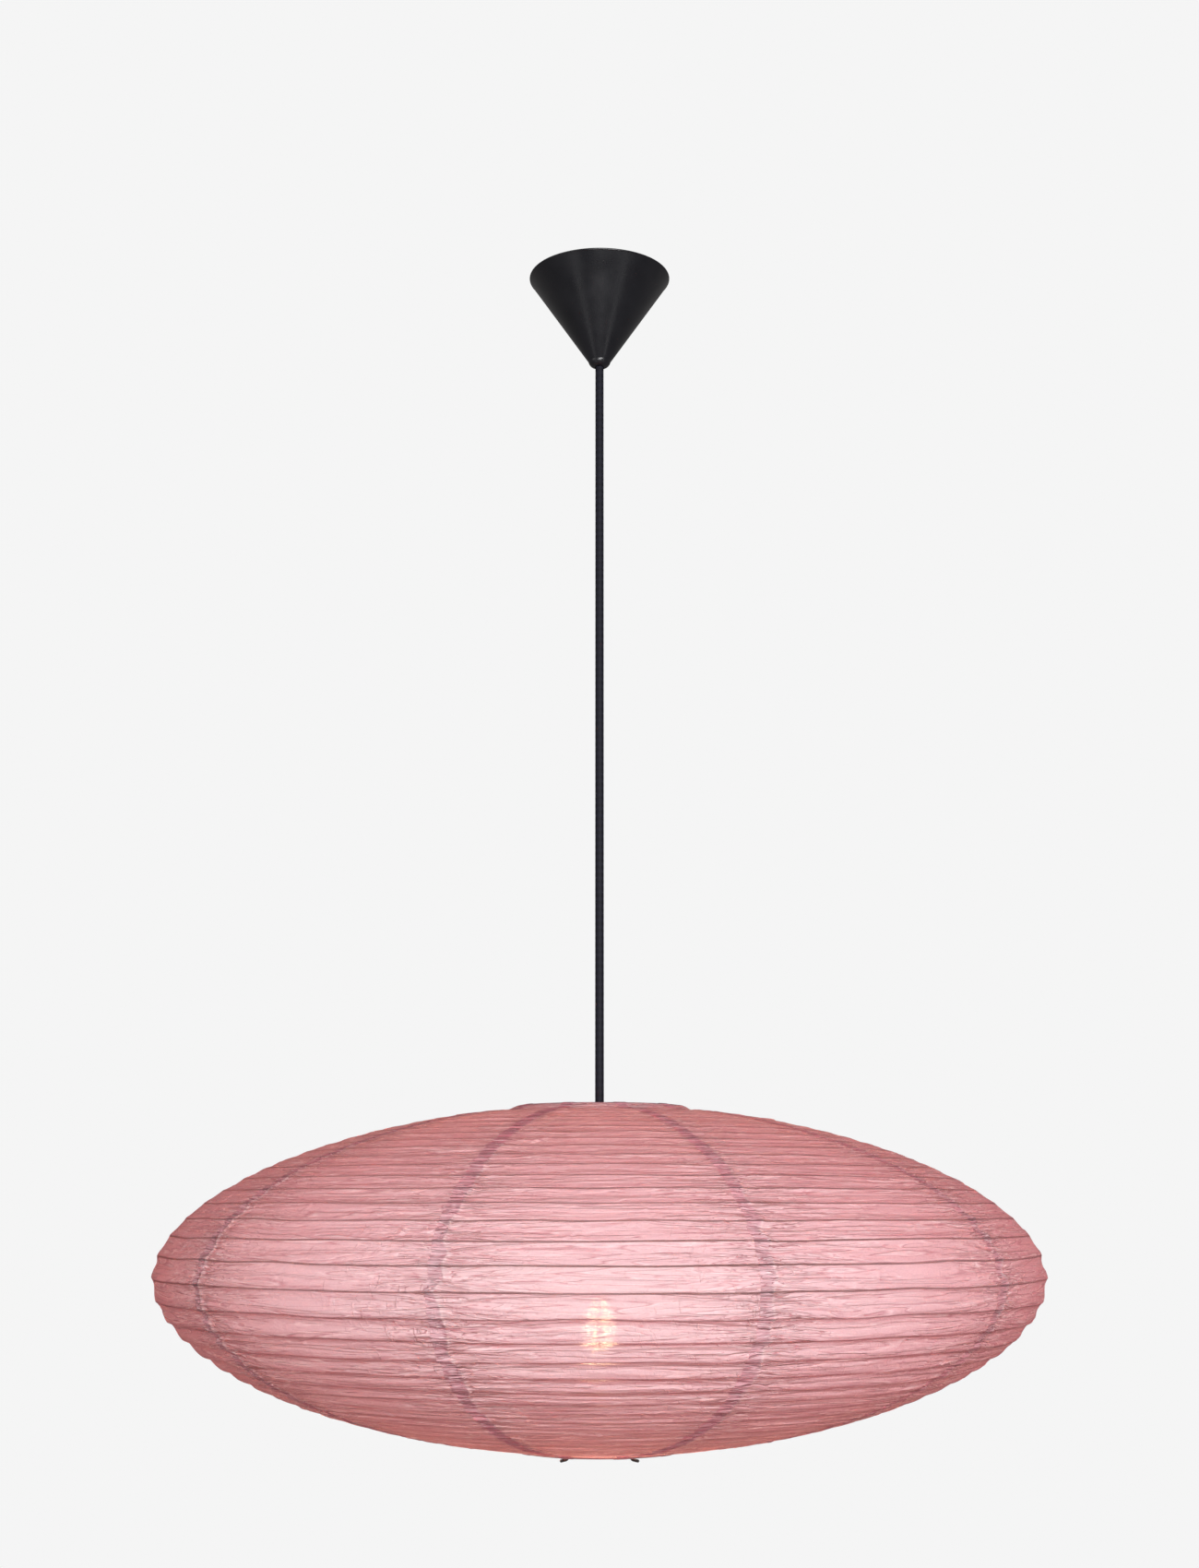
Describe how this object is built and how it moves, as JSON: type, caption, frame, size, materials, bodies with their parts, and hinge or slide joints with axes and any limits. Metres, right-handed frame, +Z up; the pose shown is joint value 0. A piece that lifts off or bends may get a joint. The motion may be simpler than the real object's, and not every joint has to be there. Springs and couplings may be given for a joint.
{
  "type": "paper lantern pendant light",
  "caption": "Flattened round pleated paper shade on wire hoops, held open by a wire expander and hung with its lampholder and bulb from a ceiling cord under a cone canopy.",
  "frame": {"origin": "middle of the ceiling strap's upper face, which lies on the ceiling", "axes": "+Z up along the cord and the shade's axis, away from the lamp into the ceiling; +X along the ceiling strap; the lamp is seen from -Y in the picture"},
  "size_m": [0.6, 0.6, 0.8507],
  "materials": {
    "zinc_steel": "zinc-plated steel",
    "white_plastic": "matte",
    "cord_textile": "woven textile sleeve, black with a slight blue cast",
    "brass": "bright",
    "brown_insulation": "smooth",
    "blue_insulation": "smooth",
    "canopy_plastic": "satin black",
    "black_rubber": "matte",
    "holder_plastic": "satin black",
    "holder_ceramic": "glazed",
    "frame_wire": "drawn steel wire",
    "binding_paper": "paper tape, matte",
    "hoop_wire": "drawn steel wire",
    "shade_paper": "thin pink rice paper, matte, lit from inside",
    "bulb_solder": "solder",
    "bulb_metal": "nickel-plated",
    "bulb_black_glass": "black glass insulator",
    "bulb_glass": "clear",
    "filament": "yellow phosphor coating, lit"
  },
  "bodies": {
    "ceiling": {"ceiling_strap": "zinc_steel", "ceiling_hook": "zinc_steel"},
    "link": {"hanger_link": "zinc_steel"},
    "cord": {"cord_grip": "white_plastic", "grip_screws": "zinc_steel", "pendant_cord": "cord_textile", "terminal_block": "white_plastic", "terminal_screws": "brass", "live_lead": "brown_insulation", "neutral_lead": "blue_insulation"},
    "canopy": {"canopy": "canopy_plastic", "canopy_grommet": "black_rubber"},
    "holder": {"cord_gland": "holder_plastic", "holder_cap": "holder_plastic", "holder_body": "holder_plastic", "contact_block": "holder_ceramic", "holder_screws": "brass", "holder_leads": "brown_insulation", "screw_sleeve": "brass", "centre_contact": "brass"},
    "shade": {"expander_collar": "frame_wire", "expander_side_front": "frame_wire", "expander_side_back": "frame_wire", "top_ring": "frame_wire", "top_binding": "binding_paper", "hoops_upper": "hoop_wire", "hoop_widest": "hoop_wire", "hoops_lower": "hoop_wire", "paper_gore_01": "shade_paper", "paper_gore_02": "shade_paper", "paper_gore_03": "shade_paper", "paper_gore_04": "shade_paper", "paper_gore_05": "shade_paper", "paper_gore_06": "shade_paper", "paper_gore_07": "shade_paper", "paper_gore_08": "shade_paper", "paper_gore_09": "shade_paper", "paper_gore_10": "shade_paper"},
    "shade_ring": {"shade_ring": "holder_plastic"},
    "bottom_ring": {"bottom_ring": "frame_wire", "bottom_binding": "binding_paper"},
    "bulb_tip": {"bulb_tip": "bulb_solder"},
    "bulb": {"bulb_shell": "bulb_metal", "bulb_insulator": "bulb_black_glass", "bulb_glass": "bulb_glass", "bulb_stem": "bulb_glass", "bulb_filaments": "filament", "filament_wires": "bulb_metal"}
  },
  "joints": [
    {"name": "swing_front_back", "type": "hinge", "parent": "ceiling", "child": "link", "pos_m": [0, 0, -0.02], "axis": [1, 0, 0], "range_deg": [-3, 3]},
    {"name": "swing_side", "type": "hinge", "parent": "link", "child": "cord", "pos_m": [0, 0, -0.0301], "axis": [0, 1, 0], "range_deg": [-3, 3]},
    {"name": "canopy_slide", "type": "slide", "parent": "cord", "child": "canopy", "axis": [0, 0, 1], "range_m": [-0.45, 0]},
    {"name": "lamp_turn", "type": "hinge", "parent": "cord", "child": "holder", "pos_m": [0, 0, -0.665], "axis": [0, 0, 1], "range_deg": [-90, 90], "stiffness_Nm_per_rad": 0.02},
    {"name": "shade_lower", "type": "slide", "parent": "holder", "child": "shade", "axis": [0, 0, -1], "range_m": [0, 0.0104]},
    {"name": "shade_ring_turn", "type": "hinge", "parent": "shade", "child": "shade_ring", "pos_m": [0, 0, -0.699], "axis": [0, 0, 1], "range_deg": [0, 1440]},
    {"name": "shade_collapse", "type": "slide", "parent": "shade", "child": "bottom_ring", "axis": [0, 0, 1], "range_m": [0, 0.2], "deforming": ["paper_gore_01", "paper_gore_02", "paper_gore_03", "paper_gore_04", "paper_gore_05", "paper_gore_06", "paper_gore_07", "paper_gore_08", "paper_gore_09", "paper_gore_10", "hoops_upper", "hoop_widest", "hoops_lower"]},
    {"name": "bulb_travel", "type": "slide", "parent": "holder", "child": "bulb_tip", "axis": [0, 0, -1], "range_m": [0, 0.02896]},
    {"name": "bulb_turn", "type": "hinge", "parent": "bulb_tip", "child": "bulb", "pos_m": [0, 0, -0.72], "axis": [0, 0, 1], "range_deg": [0, 2880]}
  ],
  "couplings": [
    {"joint": "shade_ring_turn", "follows": "shade_lower", "rad_per_m": 2416.6},
    {"joint": "bulb_turn", "follows": "bulb_travel", "rad_per_m": 1735.7}
  ]
}
